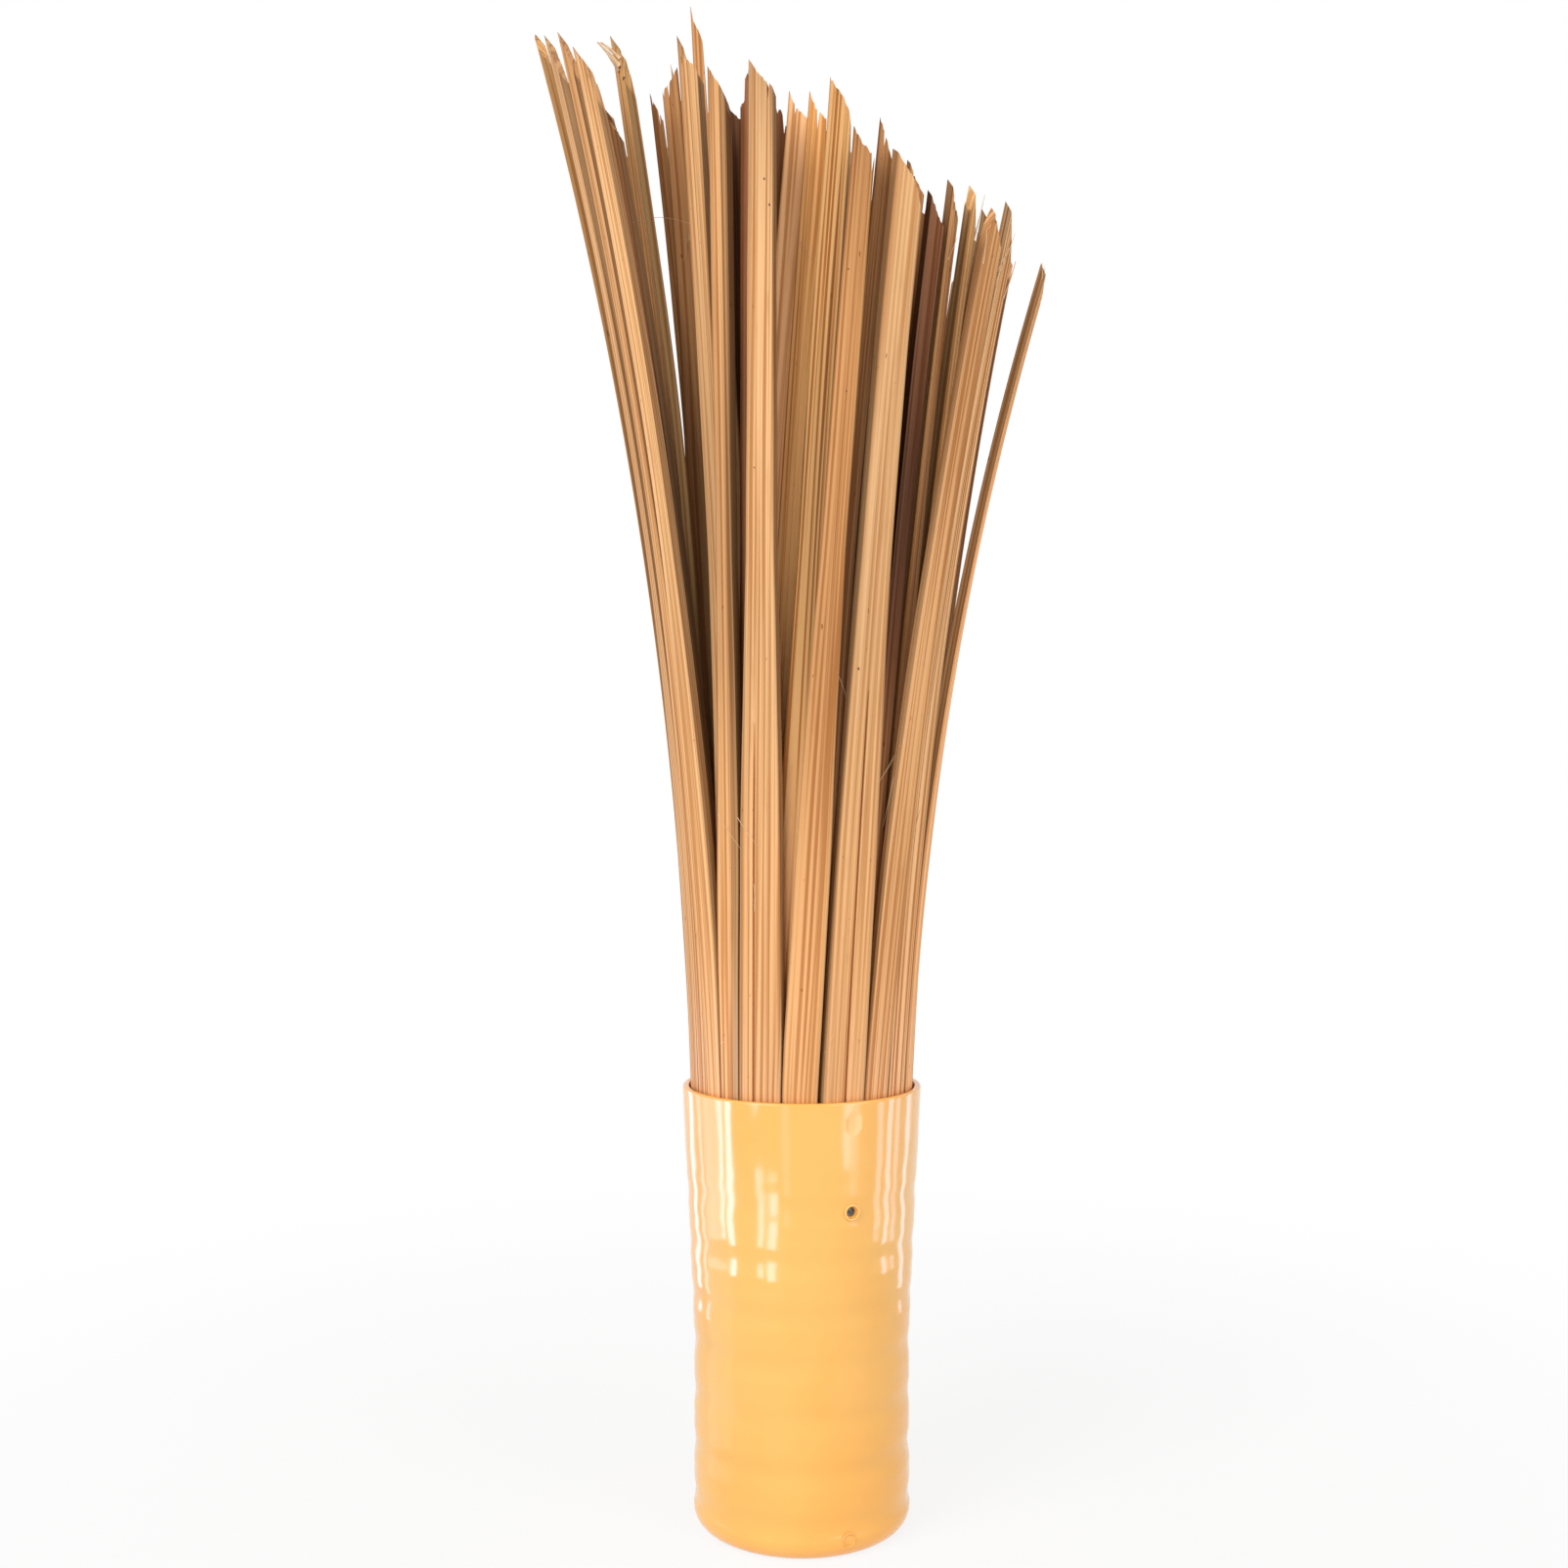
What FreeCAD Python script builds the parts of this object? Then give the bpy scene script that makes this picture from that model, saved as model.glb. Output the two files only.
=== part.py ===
import FreeCAD
import Part
import math
import os
from collections import namedtuple

# A wok brush: flat split-bamboo splints packed upright into a moulded plastic cup, which is the handle,
# and held there by one steel nail through its wall. Sizes are in millimetres. Z = 0 is the flat bottom,
# +Z runs up the handle's axis, and the front is towards -Y. A heading is an angle in degrees about the
# axis, from the front towards +X.

# Handle: a straight grip, then a flare up to the mouth.
HANDLE_HEIGHT = 69.0
GRIP_DIAMETER = 34.1
MOUTH_DIAMETER = 37.7
FLARE_START = 30.0
WALL = 1.0
FLOOR = 2.0
BOTTOM_ROUND = 2.9
ROUND_STEPS = 3
LIP_CHAMFER = 0.35

# Grip rings: shallow grooves round the outside of the handle. The wall is straight from ring to ring, and
# each ring on the flare takes up one step of it.
RING_COUNT = 7
RING_PITCH = 7.9
FIRST_RING = 5.2
RING_WIDTH = 2.9
RING_DEPTH = 0.25

# Nail: a short brad, driven square through the wall into the bundle. Its end lies a little below the
# line of the ring crests, in a dimple.
NAIL_HEADING = 23.4
NAIL_HEIGHT = 52.4
NAIL_DIAMETER = 1.3
NAIL_LENGTH = 8.0
NAIL_POINT = 1.2
NAIL_SUNK = 0.5
NAIL_GAP = 0.05
DIMPLE_DIAMETER = 2.2
DIMPLE_DEPTH = 0.6

# Splints: widths and thicknesses are across the grain.
SPLINT_THICKNESS = 1.3
INNER_THICKNESS = 2.1
SPLINT_GAP = 0.1
OUTER_WIDTH = 4.3
SECOND_WIDTH = 4.1
INNER_WIDTH = 4.9
NARROWING = 0.92
BEND_TOLERANCE = 0.45

# The fan. A splint's lean is how far its middle has moved out from the mouth when it reaches the lean
# height. It grows with the splint's distance from the axis, and past the parting the side bunches stand
# away from the middle, which leaves the two open gaps between their tips. A bow of 0 leans evenly from
# the mouth, and a bow of 1 starts upright and curves outwards.
LEAN_HEIGHT = 235.0
MIDDLE_FAN = 0.87
DEPTH_FAN = 1.0
PARTING = 13.0
PARTED_LEAN = 16.0
SIDE_FAN = 1.8
PLAIN_BOW = 0.7

# The sheared top: its height on the axis, its fall towards +X, how uneven the tips are, and how far the
# tallest splint rises above the top's height.
TOP_HEIGHT = 214.5
TOP_FALL = 0.34
UNEVENNESS = 6.0
TALLEST_RISE = 26.0

# Tip outlines: points across the splint from 0 at its left to 1 at its right, seen from outside, each
# with its drop in millimetres below the splint's highest point.
SLANT = [(0, 0), (1, 3.4)]
STEEP = [(0, 0), (0.5, 2.4), (1, 6.0)]
ROUNDED = [(0, 0), (0.55, 1.9), (0.85, 3.8), (1, 6.2)]
HOOKED = [(0, 0), (0.22, 2.4), (0.75, 4.0), (1, 5.6)]
BROKEN = [(0, 0), (0.2, 1.0), (0.55, 1.6), (0.82, 4.4), (1, 8.2)]
PEAKED = [(0, 2.6), (0.3, 0), (1, 3.6)]
STEPPED = [(0, 0), (0.55, 0.7), (0.62, 2.6), (1, 3.2)]
NOTCHED = [(0, 3.9), (0.5, 3.5), (0.56, 0.3), (1, 0)]
BACKWARD = [(0, 3.0), (1, 0)]
PLAIN_OUTLINES = [SLANT, PEAKED, STEEP, STEPPED, SLANT, BACKWARD, ROUNDED]

# One splint of a ring: the open space before it, its width at the foot and at the tip, its lean towards
# +X, its bow, how far its tip rises above the top's height, and its outline.
Row = namedtuple("Row", "space width tip_width side_lean bow rise outline")

# Front splints of the outer ring, from the left side round to the right.
OUTER_START = -96.5
OUTER_FRONT = [
    Row(0.1, 4.0, 3.4, -24.8, 0.8, 20.5, SLANT),
    Row(0.1, 3.8, 3.2, -23.4, 0.8, 16.5, STEEP),
    Row(0.1, 2.4, 2.4, -22.3, 0.75, 14.0, ROUNDED),
    Row(0.1, 2.6, 3.2, -21.5, 0.7, 10.1, BROKEN),
    Row(0.1, 2.8, 3.6, -1.8, 0.5, 5.5, ROUNDED),
    Row(0.1, 5.8, 3.7, 0.4, 0.5, 4.5, SLANT),
    Row(0.1, 4.1, 3.3, 11.4, 0.2, -5.9, SLANT),
    Row(1.0, 5.4, 4.5, 12.1, 0.4, -8.0, ROUNDED),
    Row(0.5, 3.6, 3.8, 25.0, 0.5, -14.5, PEAKED),
    Row(0.1, 4.2, 3.2, 25.2, 0.65, -12.0, STEEP),
    Row(0.2, 3.2, 2.0, 34.6, 0.8, -19.0, SLANT),
    Row(0.3, 3.8, 3.4, 24.0, 0.7, -15.5, PEAKED),
]

# Front splints of the second ring, which show between the outer ones.
SECOND_START = -76.0
SECOND_FRONT = [
    Row(0.0, 3.4, 3.2, -14.8, 0.7, 16.0, BROKEN),
    Row(0.1, 2.6, 2.2, -19.9, 0.7, 3.0, SLANT),
    Row(0.1, 2.4, 3.9, -7.0, 0.6, 11.5, HOOKED),
    Row(0.1, 1.6, 1.6, 0.3, 0.6, 4.8, NOTCHED),
    Row(0.1, 2.0, 2.0, 2.0, 0.6, -0.5, SLANT),
    Row(0.1, 4.2, 3.6, 10.0, 0.3, 2.5, ROUNDED),
    Row(0.4, 1.8, 2.6, 13.8, 0.3, -3.5, STEEP),
    Row(1.2, 3.4, 2.8, 14.8, 0.4, -8.5, SLANT),
    Row(0.1, 2.2, 3.0, 15.6, 0.4, -12.0, SLANT),
    Row(0.1, 2.4, 2.0, 16.0, 0.4, -9.5, SLANT),
    Row(0.1, 2.4, 2.2, 18.0, 0.5, -9.0, PEAKED),
    Row(0.1, 3.6, 3.0, 20.5, 0.65, -14.5, STEPPED),
]

# Lengthwise cracks in two of the broad outer splints: which one, how far right of its middle, and how far
# above the mouth the crack runs out.
CRACK_WIDTH = 0.3
CRACK_TAPER = 6.0
CRACKS = {5: (-0.9, 57.0), 7: (0.2, 62.0)}

# Inner rows: slats that are split into splints above the straight grip and whole below it. The shares
# set how unequal their splints are.
ROW_SHARES = [1.0, 0.78, 1.2, 0.92, 1.1]

# Inner splints whose tips show between the front ones: the row from the front and the place from the left,
# then the width at the tip, the lean towards +X, the rise of the tip and its outline.
Inner = namedtuple("Inner", "tip_width side_lean rise outline")
INNER_SHOWN = {
    (0, 0): Inner(2.3, 8.2, 3.0, SLANT),
    (0, 1): Inner(3.0, 6.8, -2.5, SLANT),
    (0, 2): Inner(4.6, 6.0, -7.0, STEEP),
    (1, 0): Inner(2.7, 7.7, 4.7, SLANT),
    (1, 1): Inner(3.6, 6.1, -1.5, SLANT),
    (1, 2): Inner(4.4, 5.3, -4.5, BACKWARD),
    (2, 1): Inner(3.2, -0.6, 4.8, STEPPED),
    (3, 0): Inner(2.7, -10.3, 11.8, BACKWARD),
    (3, 1): Inner(4.2, -4.4, 6.2, SLANT),
    (4, 0): Inner(1.6, -12.9, 9.6, SLANT),
    (6, 0): Inner(1.2, -10.7, 18.2, STEEP),
}
TALLEST_TIP_WIDTH = 1.6
TALLEST_LEAN = -5.5

# Dependent sizes
GRIP_RADIUS = GRIP_DIAMETER / 2
MOUTH_RADIUS = MOUTH_DIAMETER / 2
FLARE_SLOPE = (MOUTH_RADIUS - GRIP_RADIUS) / (HANDLE_HEIGHT - FLARE_START)
BUNDLE_RADIUS = GRIP_RADIUS - WALL - SPLINT_GAP
MOUTH_SPREAD = (MOUTH_RADIUS - WALL) / (GRIP_RADIUS - WALL)
GOLDEN_SHARE = (math.sqrt(5) - 1) / 2


def towards(heading, radius, z=0.0):
    """The point at a radius along a heading."""
    angle = math.radians(heading)
    return FreeCAD.Vector(radius * math.sin(angle), -radius * math.cos(angle), z)


def outside_radius(z):
    """The handle's outer radius over its ring crests at a height."""
    return GRIP_RADIUS + FLARE_SLOPE * max(0.0, z - FLARE_START)


def uneven(number):
    """A share from 0 to 1 that spreads evenly and looks random from one number to the next."""
    return (number * GOLDEN_SHARE) % 1.0


# Handle

def turned(points):
    """A solid turned about the axis from a closed outline of radii and heights."""
    corners = [FreeCAD.Vector(r, 0, z) for r, z in points + points[:1]]
    return Part.Face(Part.makePolygon(corners)).revolve(FreeCAD.Vector(), FreeCAD.Vector(0, 0, 1), 360)


def foot_round():
    """The rounded foot of the wall, as points on its arc from the bottom up."""
    points = []
    for step in range(ROUND_STEPS + 1):
        angle = math.radians(90 * step / ROUND_STEPS)
        points.append((GRIP_RADIUS - BOTTOM_ROUND * (1 - math.sin(angle)), BOTTOM_ROUND * (1 - math.cos(angle))))
    return points


def ringed_wall():
    """The outside of the wall from the first ring to the last, as straight crests and V-shaped grooves."""
    points = []
    for ring in range(RING_COUNT):
        height = FIRST_RING + ring * RING_PITCH
        last = ring == RING_COUNT - 1
        below = outside_radius(height - RING_PITCH / 2)
        above = outside_radius(height + (RING_WIDTH if last else RING_PITCH) / 2)
        points += [(below, height - RING_WIDTH / 2), (outside_radius(height) - RING_DEPTH, height),
                   (above, height + RING_WIDTH / 2)]
    return points


def make_cup():
    """The cup with its grip rings, before its holes and marks."""
    chamfer_start = HANDLE_HEIGHT - LIP_CHAMFER
    return turned([(0, 0)] + foot_round() + ringed_wall() + [
        (outside_radius(chamfer_start), chamfer_start), (MOUTH_RADIUS - LIP_CHAMFER, HANDLE_HEIGHT),
        (MOUTH_RADIUS - WALL, HANDLE_HEIGHT), (GRIP_RADIUS - WALL, FLARE_START),
        (GRIP_RADIUS - WALL, FLOOR), (0, FLOOR)])


def make_handle():
    """The cup with the nail's hole and its dimple."""
    nail_surface = outside_radius(NAIL_HEIGHT)
    dimple = Part.makeCone(
        NAIL_DIAMETER / 2, DIMPLE_DIAMETER / 2, DIMPLE_DEPTH,
        towards(NAIL_HEADING, nail_surface - DIMPLE_DEPTH, NAIL_HEIGHT), towards(NAIL_HEADING, 1))
    return make_cup().cut(nail_hole()).cut(dimple)


# Nail

def nail_hole():
    """The nail's hole, from outside the handle to just past the nail's point."""
    start = outside_radius(NAIL_HEIGHT) + WALL
    length = WALL + NAIL_SUNK + NAIL_LENGTH + NAIL_GAP
    return Part.makeCylinder(
        NAIL_DIAMETER / 2 + NAIL_GAP, length, towards(NAIL_HEADING, start, NAIL_HEIGHT),
        towards(NAIL_HEADING, -1))


def make_nail():
    """The brad: a round shank with a point at its inner end."""
    start = outside_radius(NAIL_HEIGHT) - NAIL_SUNK
    inward = towards(NAIL_HEADING, -1)
    shank_length = NAIL_LENGTH - NAIL_POINT
    shank = Part.makeCylinder(
        NAIL_DIAMETER / 2, shank_length, towards(NAIL_HEADING, start, NAIL_HEIGHT), inward)
    point = Part.makeCone(
        NAIL_DIAMETER / 2, 0, NAIL_POINT, towards(NAIL_HEADING, start - shank_length, NAIL_HEIGHT), inward)
    return shank.fuse(point).removeSplitter()


# Splints

def fan_lean(foot):
    """The sideways and the depth lean, by the fan's rule, of a splint that stands on this foot."""
    x, y = foot.x * MOUTH_SPREAD, foot.y * MOUTH_SPREAD
    if abs(x) > PARTING:
        return math.copysign(PARTED_LEAN + SIDE_FAN * (abs(x) - PARTING), x), DEPTH_FAN * y
    return MIDDLE_FAN * x, DEPTH_FAN * y


class Splint:
    """A flat-sided splint on the cup's floor. Its section keeps its heading all the way up."""

    def __init__(self, foot, heading, row, thickness):
        self.foot = foot
        self.heading = heading
        self.row = row
        self.thickness = thickness
        self.tip = TOP_HEIGHT + row.rise
        side, depth = fan_lean(foot)
        self.lean = FreeCAD.Vector(side if row.side_lean is None else row.side_lean, depth, 0)
        free = self.tip - HANDLE_HEIGHT
        stretches = math.ceil(math.sqrt(self.lean.Length * row.bow / (4 * BEND_TOLERANCE)))
        bent = [HANDLE_HEIGHT + free * bend / stretches for bend in range(1, stretches)]
        self.heights = [FLOOR, FLARE_START, HANDLE_HEIGHT] + bent

    def middle(self, z):
        """The middle of the section: upright in the grip, out with the flare, then bowed outwards."""
        rise = min(max(z - FLARE_START, 0.0) / (HANDLE_HEIGHT - FLARE_START), 1.0)
        spread = 1 + (MOUTH_SPREAD - 1) * rise
        up = max(z - HANDLE_HEIGHT, 0.0) / (LEAN_HEIGHT - HANDLE_HEIGHT)
        out = (1 - self.row.bow) * up + self.row.bow * up * up
        return self.foot * spread + self.lean * out + FreeCAD.Vector(0, 0, z)

    def width(self, z):
        """The width of the section, which changes evenly from the mouth to the tip."""
        rise = max(z - HANDLE_HEIGHT, 0.0) / (self.tip - HANDLE_HEIGHT)
        return self.row.width + (self.row.tip_width - self.row.width) * rise

    def point(self, z, share, side, shift):
        """A point of the surface: a share of the width, and the outer (1) or the inner (-1) side.

        Above the last bend the splint runs straight on to its tip."""
        last = self.heights[-1]
        middle = self.middle(z)
        if z > last:
            end = self.middle(self.tip)
            middle = self.middle(last) + (end - self.middle(last)) * ((z - last) / (self.tip - last))
        across = towards(self.heading + 90, shift + (share - 0.5) * self.width(z))
        return middle + across + towards(self.heading, side * self.thickness / 2)

    def solid(self, shift=0.0):
        """The splint as a solid, cut at its tip along its outline. The shift moves it across its width."""
        left = [(z, 0) for z in self.heights]
        right = [(z, 1) for z in self.heights]
        cut = [(self.tip - drop, share) for share, drop in reversed(self.row.outline)]
        faces = []
        for side in (1, -1):
            for i in range(len(left) - 1):
                corners = [left[i], right[i], right[i + 1], left[i + 1]]
                faces.append([self.point(z, share, side, shift) for z, share in corners])
            ending = [left[-1], right[-1]] + cut
            faces.append([self.point(z, share, side, shift) for z, share in ending])
        border = left[::-1] + right + cut
        for one, other in zip(border, border[1:] + border[:1]):
            faces.append([self.point(*one, 1, shift), self.point(*other, 1, shift),
                          self.point(*other, -1, shift), self.point(*one, -1, shift)])
        shell = Part.Shell([Part.Face(Part.makePolygon(corners + corners[:1])) for corners in faces])
        solid = Part.Solid(shell)
        if solid.Volume < 0:
            solid.reverse()
        return solid

    def crack(self, shift, length):
        """The space of a lengthwise crack, from inside the handle to where it runs out above the mouth."""
        wedge = [(0, CRACK_TAPER), (0.5, 0), (1, CRACK_TAPER)]
        end = HANDLE_HEIGHT + length
        row = self.row._replace(
            width=CRACK_WIDTH, tip_width=CRACK_WIDTH, rise=end - TOP_HEIGHT, outline=wedge)
        space = Splint(self.foot, self.heading, row, 2 * self.thickness)
        space.heights = [z for z in self.heights if FLARE_START <= z < end - CRACK_TAPER]
        space.lean = self.lean
        return space.solid(shift)


def with_nail_hole(solid):
    """The solid with the nail's hole through it, if the nail meets it."""
    hole = nail_hole()
    return solid.cut(hole) if solid.distToShape(hole)[0] < NAIL_GAP else solid


def half_angle(width, radius):
    """Half the angle that a splint takes in a ring, at its inner face."""
    inner_face = math.sqrt(radius ** 2 - (width / 2) ** 2) - SPLINT_THICKNESS
    return math.degrees(math.atan2(width / 2, inner_face))


def ring_foot(heading, width, radius):
    """The foot of a ring's splint, whose outer corners lie on the radius."""
    return towards(heading, math.sqrt(radius ** 2 - (width / 2) ** 2) - SPLINT_THICKNESS / 2)


def plain_row(number, width, foot):
    """The row of a splint that has no place of its own in the front lists, by the fan's rules."""
    top_x = foot.x * MOUTH_SPREAD + fan_lean(foot)[0]
    rise = UNEVENNESS * (uneven(number) - 0.5) - TOP_FALL * top_x
    outline = PLAIN_OUTLINES[int(uneven(3 * number + 1) * len(PLAIN_OUTLINES))]
    return Row(SPLINT_GAP, width, width * NARROWING, None, PLAIN_BOW, rise, outline)


def make_ring(radius, start, front, width, first_number):
    """The splints of a ring: the listed front ones side by side, then plain ones round the back."""
    heading = start
    places = []
    for row in front:
        half = half_angle(row.width, radius)
        heading += math.degrees(row.space / radius) + half
        places.append((heading, row))
        heading += half
    room = 360 + start - heading
    count = int(room / (2 * half_angle(width, radius) + math.degrees(2 * SPLINT_GAP / radius)))
    for place in range(count):
        back_heading = heading + (place + 0.5) * room / count
        foot = ring_foot(back_heading, width, radius)
        places.append((back_heading, plain_row(first_number + place, width, foot)))
    return [Splint(ring_foot(heading, row.width, radius), heading, row, SPLINT_THICKNESS)
            for heading, row in places]


def make_rings():
    """Both rings of single splints, by name, and the radius that is left inside them."""
    parts = {}
    radius = BUNDLE_RADIUS
    rings = [("outer", OUTER_START, OUTER_FRONT, OUTER_WIDTH),
             ("second", SECOND_START, SECOND_FRONT, SECOND_WIDTH)]
    for name, start, front, width in rings:
        splints = make_ring(radius, start, front, width, len(parts))
        for number, splint in enumerate(splints):
            solid = splint.solid()
            if name == "outer" and number in CRACKS:
                solid = solid.cut(splint.crack(*CRACKS[number]))
            parts["%s_splint_%02d" % (name, number + 1)] = with_nail_hole(solid)
        widest = max(splint.row.width for splint in splints)
        radius = math.sqrt(radius ** 2 - (widest / 2) ** 2) - SPLINT_THICKNESS - SPLINT_GAP
    return parts, radius


def make_inner_rows(radius, first_number):
    """Rows of slats across the middle, each split above the grip into splints that fan out."""
    parts = {}
    pitch = INNER_THICKNESS + SPLINT_GAP
    count = int((2 * radius - INNER_THICKNESS) / pitch)
    number = first_number
    for row in range(count):
        y = (row - (count - 1) / 2) * pitch
        half = math.sqrt(radius ** 2 - (abs(y) + INNER_THICKNESS / 2) ** 2)
        splints = max(1, round(2 * half / INNER_WIDTH))
        shares = [ROW_SHARES[(2 * row + place) % len(ROW_SHARES)] for place in range(splints)]
        left = -half
        solids = []
        for place, share in enumerate(shares):
            width = 2 * half * share / sum(shares)
            foot = FreeCAD.Vector(left + width / 2, y, 0)
            left += width
            plan = plain_row(number, width, foot)
            shown = INNER_SHOWN.get((row, place))
            if row == count // 2 and place == 0:
                shown = Inner(TALLEST_TIP_WIDTH, TALLEST_LEAN, TALLEST_RISE, HOOKED)
            if shown:
                plan = plan._replace(**shown._asdict())
            solids.append(Splint(foot, 0, plan, INNER_THICKNESS).solid())
            number += 1
        slat = solids[0].multiFuse(solids[1:]).removeSplitter() if len(solids) > 1 else solids[0]
        parts["inner_row_%02d" % (row + 1)] = with_nail_hole(slat)
    return parts


def build():
    """Every piece, by the name of its node."""
    parts = {"handle": make_handle(), "nail": make_nail()}
    splints, radius = make_rings()
    parts.update(splints)
    parts.update(make_inner_rows(radius, len(splints)))
    return parts


os.makedirs("parts", exist_ok=True)
for node, shape in build().items():
    shape.exportStep("parts/%s.step" % node)
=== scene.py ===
import math
import random

import bpy
import numpy as np
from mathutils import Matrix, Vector, noise


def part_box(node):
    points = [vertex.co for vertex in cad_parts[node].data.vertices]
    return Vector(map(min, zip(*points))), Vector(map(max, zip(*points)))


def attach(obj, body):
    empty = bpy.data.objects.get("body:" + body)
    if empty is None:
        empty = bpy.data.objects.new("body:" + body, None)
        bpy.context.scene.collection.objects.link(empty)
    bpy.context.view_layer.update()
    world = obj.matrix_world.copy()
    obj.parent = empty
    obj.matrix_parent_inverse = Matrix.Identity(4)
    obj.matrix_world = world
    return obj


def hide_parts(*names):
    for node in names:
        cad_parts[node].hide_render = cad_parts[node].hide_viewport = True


bl_info = {
    "name": "Bamboo wok brush",
    "version": (1, 0, 0),
    "blender": (4, 5, 0),
    "location": "View3D > Sidebar > Brush",
    "description": "Builds the looks of a bamboo wok brush around its packed solids",
    "category": "Mesh",
}

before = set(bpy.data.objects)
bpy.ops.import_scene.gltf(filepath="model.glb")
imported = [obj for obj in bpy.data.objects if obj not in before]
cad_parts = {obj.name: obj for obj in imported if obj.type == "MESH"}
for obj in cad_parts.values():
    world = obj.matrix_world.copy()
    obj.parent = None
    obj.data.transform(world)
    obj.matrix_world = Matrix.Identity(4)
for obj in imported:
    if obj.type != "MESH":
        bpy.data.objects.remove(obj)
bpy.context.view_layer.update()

MM = 0.001
HANDLE_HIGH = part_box("handle")[1]
HANDLE_HEIGHT = HANDLE_HIGH.z
MOUTH_RADIUS = HANDLE_HIGH.x
GRIP_TOP = 0.031
FLOOR_TOP = 0.002

# The solids' outermost corners. The splints keep a little inside of them.
CORNERS = np.array([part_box(node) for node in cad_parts])
CLEARANCE = 0.00002
LOWEST = CORNERS[:, 0, :2].min(0) + CLEARANCE
HIGHEST = CORNERS[:, 1, :2].max(0) - CLEARANCE
TOP = CORNERS[:, 1, 2].max()


def srgb(red, green, blue):
    """A colour given in 0-255 display values, as the linear values that shaders use."""
    values = [v / 255 for v in (red, green, blue)]
    return tuple(v / 12.92 if v <= 0.04045 else ((v + 0.055) / 1.055) ** 2.4 for v in values)


def colour(label, description, default):
    return bpy.props.FloatVectorProperty(
        name=label, description=description, subtype="COLOR", size=3, min=0, max=1, default=default)


def length(label, description, millimetres):
    return bpy.props.FloatProperty(
        name=label, description=description, subtype="DISTANCE", unit="LENGTH", default=millimetres * MM)


class HandleSettings(bpy.types.PropertyGroup):
    """Sizes and colour of the moulded handle."""
    plastic: colour("Plastic", "Colour of the moulded plastic", srgb(250, 183, 86))
    grip_radius: length("Grip radius", "Outer radius of the straight grip", 17.05)
    flare_start: length("Flare start", "Height at which the wall starts to flare", 30)
    wall: length("Wall", "Thickness of the wall", 1.0)
    foot_round: length("Foot round", "Radius of the rounded foot", 2.9)
    lip_round: length("Lip round", "Radius of the rounded lip", 0.35)
    first_ring: length("First ring", "Height of the lowest grip ring", 5.2)
    ring_pitch: length("Ring pitch", "Distance from one grip ring to the next", 7.9)
    ring_depth: length("Ring depth", "Depth of a grip ring", 0.22)
    ring_width: length("Ring width", "Width of a grip ring's hollow", 6.4)
    between_depth: length("Hollow between", "Depth of the faint hollow halfway between rings", 0.06)


class BambooSettings(bpy.types.PropertyGroup):
    """Colours and surface of the split bamboo."""
    light: colour("Light", "Palest splints", srgb(222, 170, 115))
    tan: colour("Tan", "Common splints", srgb(214, 158, 102))
    honey: colour("Honey", "Yellower splints", srgb(217, 160, 96))
    pink: colour("Pink", "Pinker splints", srgb(213, 157, 112))
    green: colour("Green", "Splints with a trace of green", srgb(204, 156, 98))
    brown: colour("Brown", "Brown splints", srgb(184, 130, 78))
    red: colour("Red brown", "Reddish splints", srgb(166, 106, 64))
    # Given only to splints inside the bundle: partly their own colour, partly painted shade.
    dark: colour("Dark", "Darkest splints", srgb(120, 74, 38))
    ridge: length("Ridge", "Height of the lengthwise ridges", 0.035)
    wander: length("Wander", "How far a split edge wanders", 0.09)
    ragged: length("Ragged", "How uneven the fibres end at a tip", 0.45)


class StageSettings(bpy.types.PropertyGroup):
    """Floor, lights and camera."""
    floor: colour("Floor", "Colour of the floor", (0.86, 0.86, 0.86))
    camera_height: length("Camera height", "Height of the camera", 116.4)
    camera_side: length("Camera side", "How far the camera stands to the side", -2.8)
    camera_distance: length("Camera distance", "Distance from the camera to the axis", 280)
    lens: bpy.props.FloatProperty(name="Lens", description="Focal length in millimetres", default=40.53)


# Materials

class Wire:
    """A socket in a material's tree, on which arithmetic adds Math nodes."""

    def __init__(self, paint, socket):
        self.paint = paint
        self.socket = socket

    def math(self, operation, *values):
        return self.paint.node("Math", {"operation": operation}, *values)

    def __add__(self, other):
        return self.math("ADD", self, other)

    __radd__ = __add__

    def __mul__(self, other):
        return self.math("MULTIPLY", self, other)

    __rmul__ = __mul__


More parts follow.
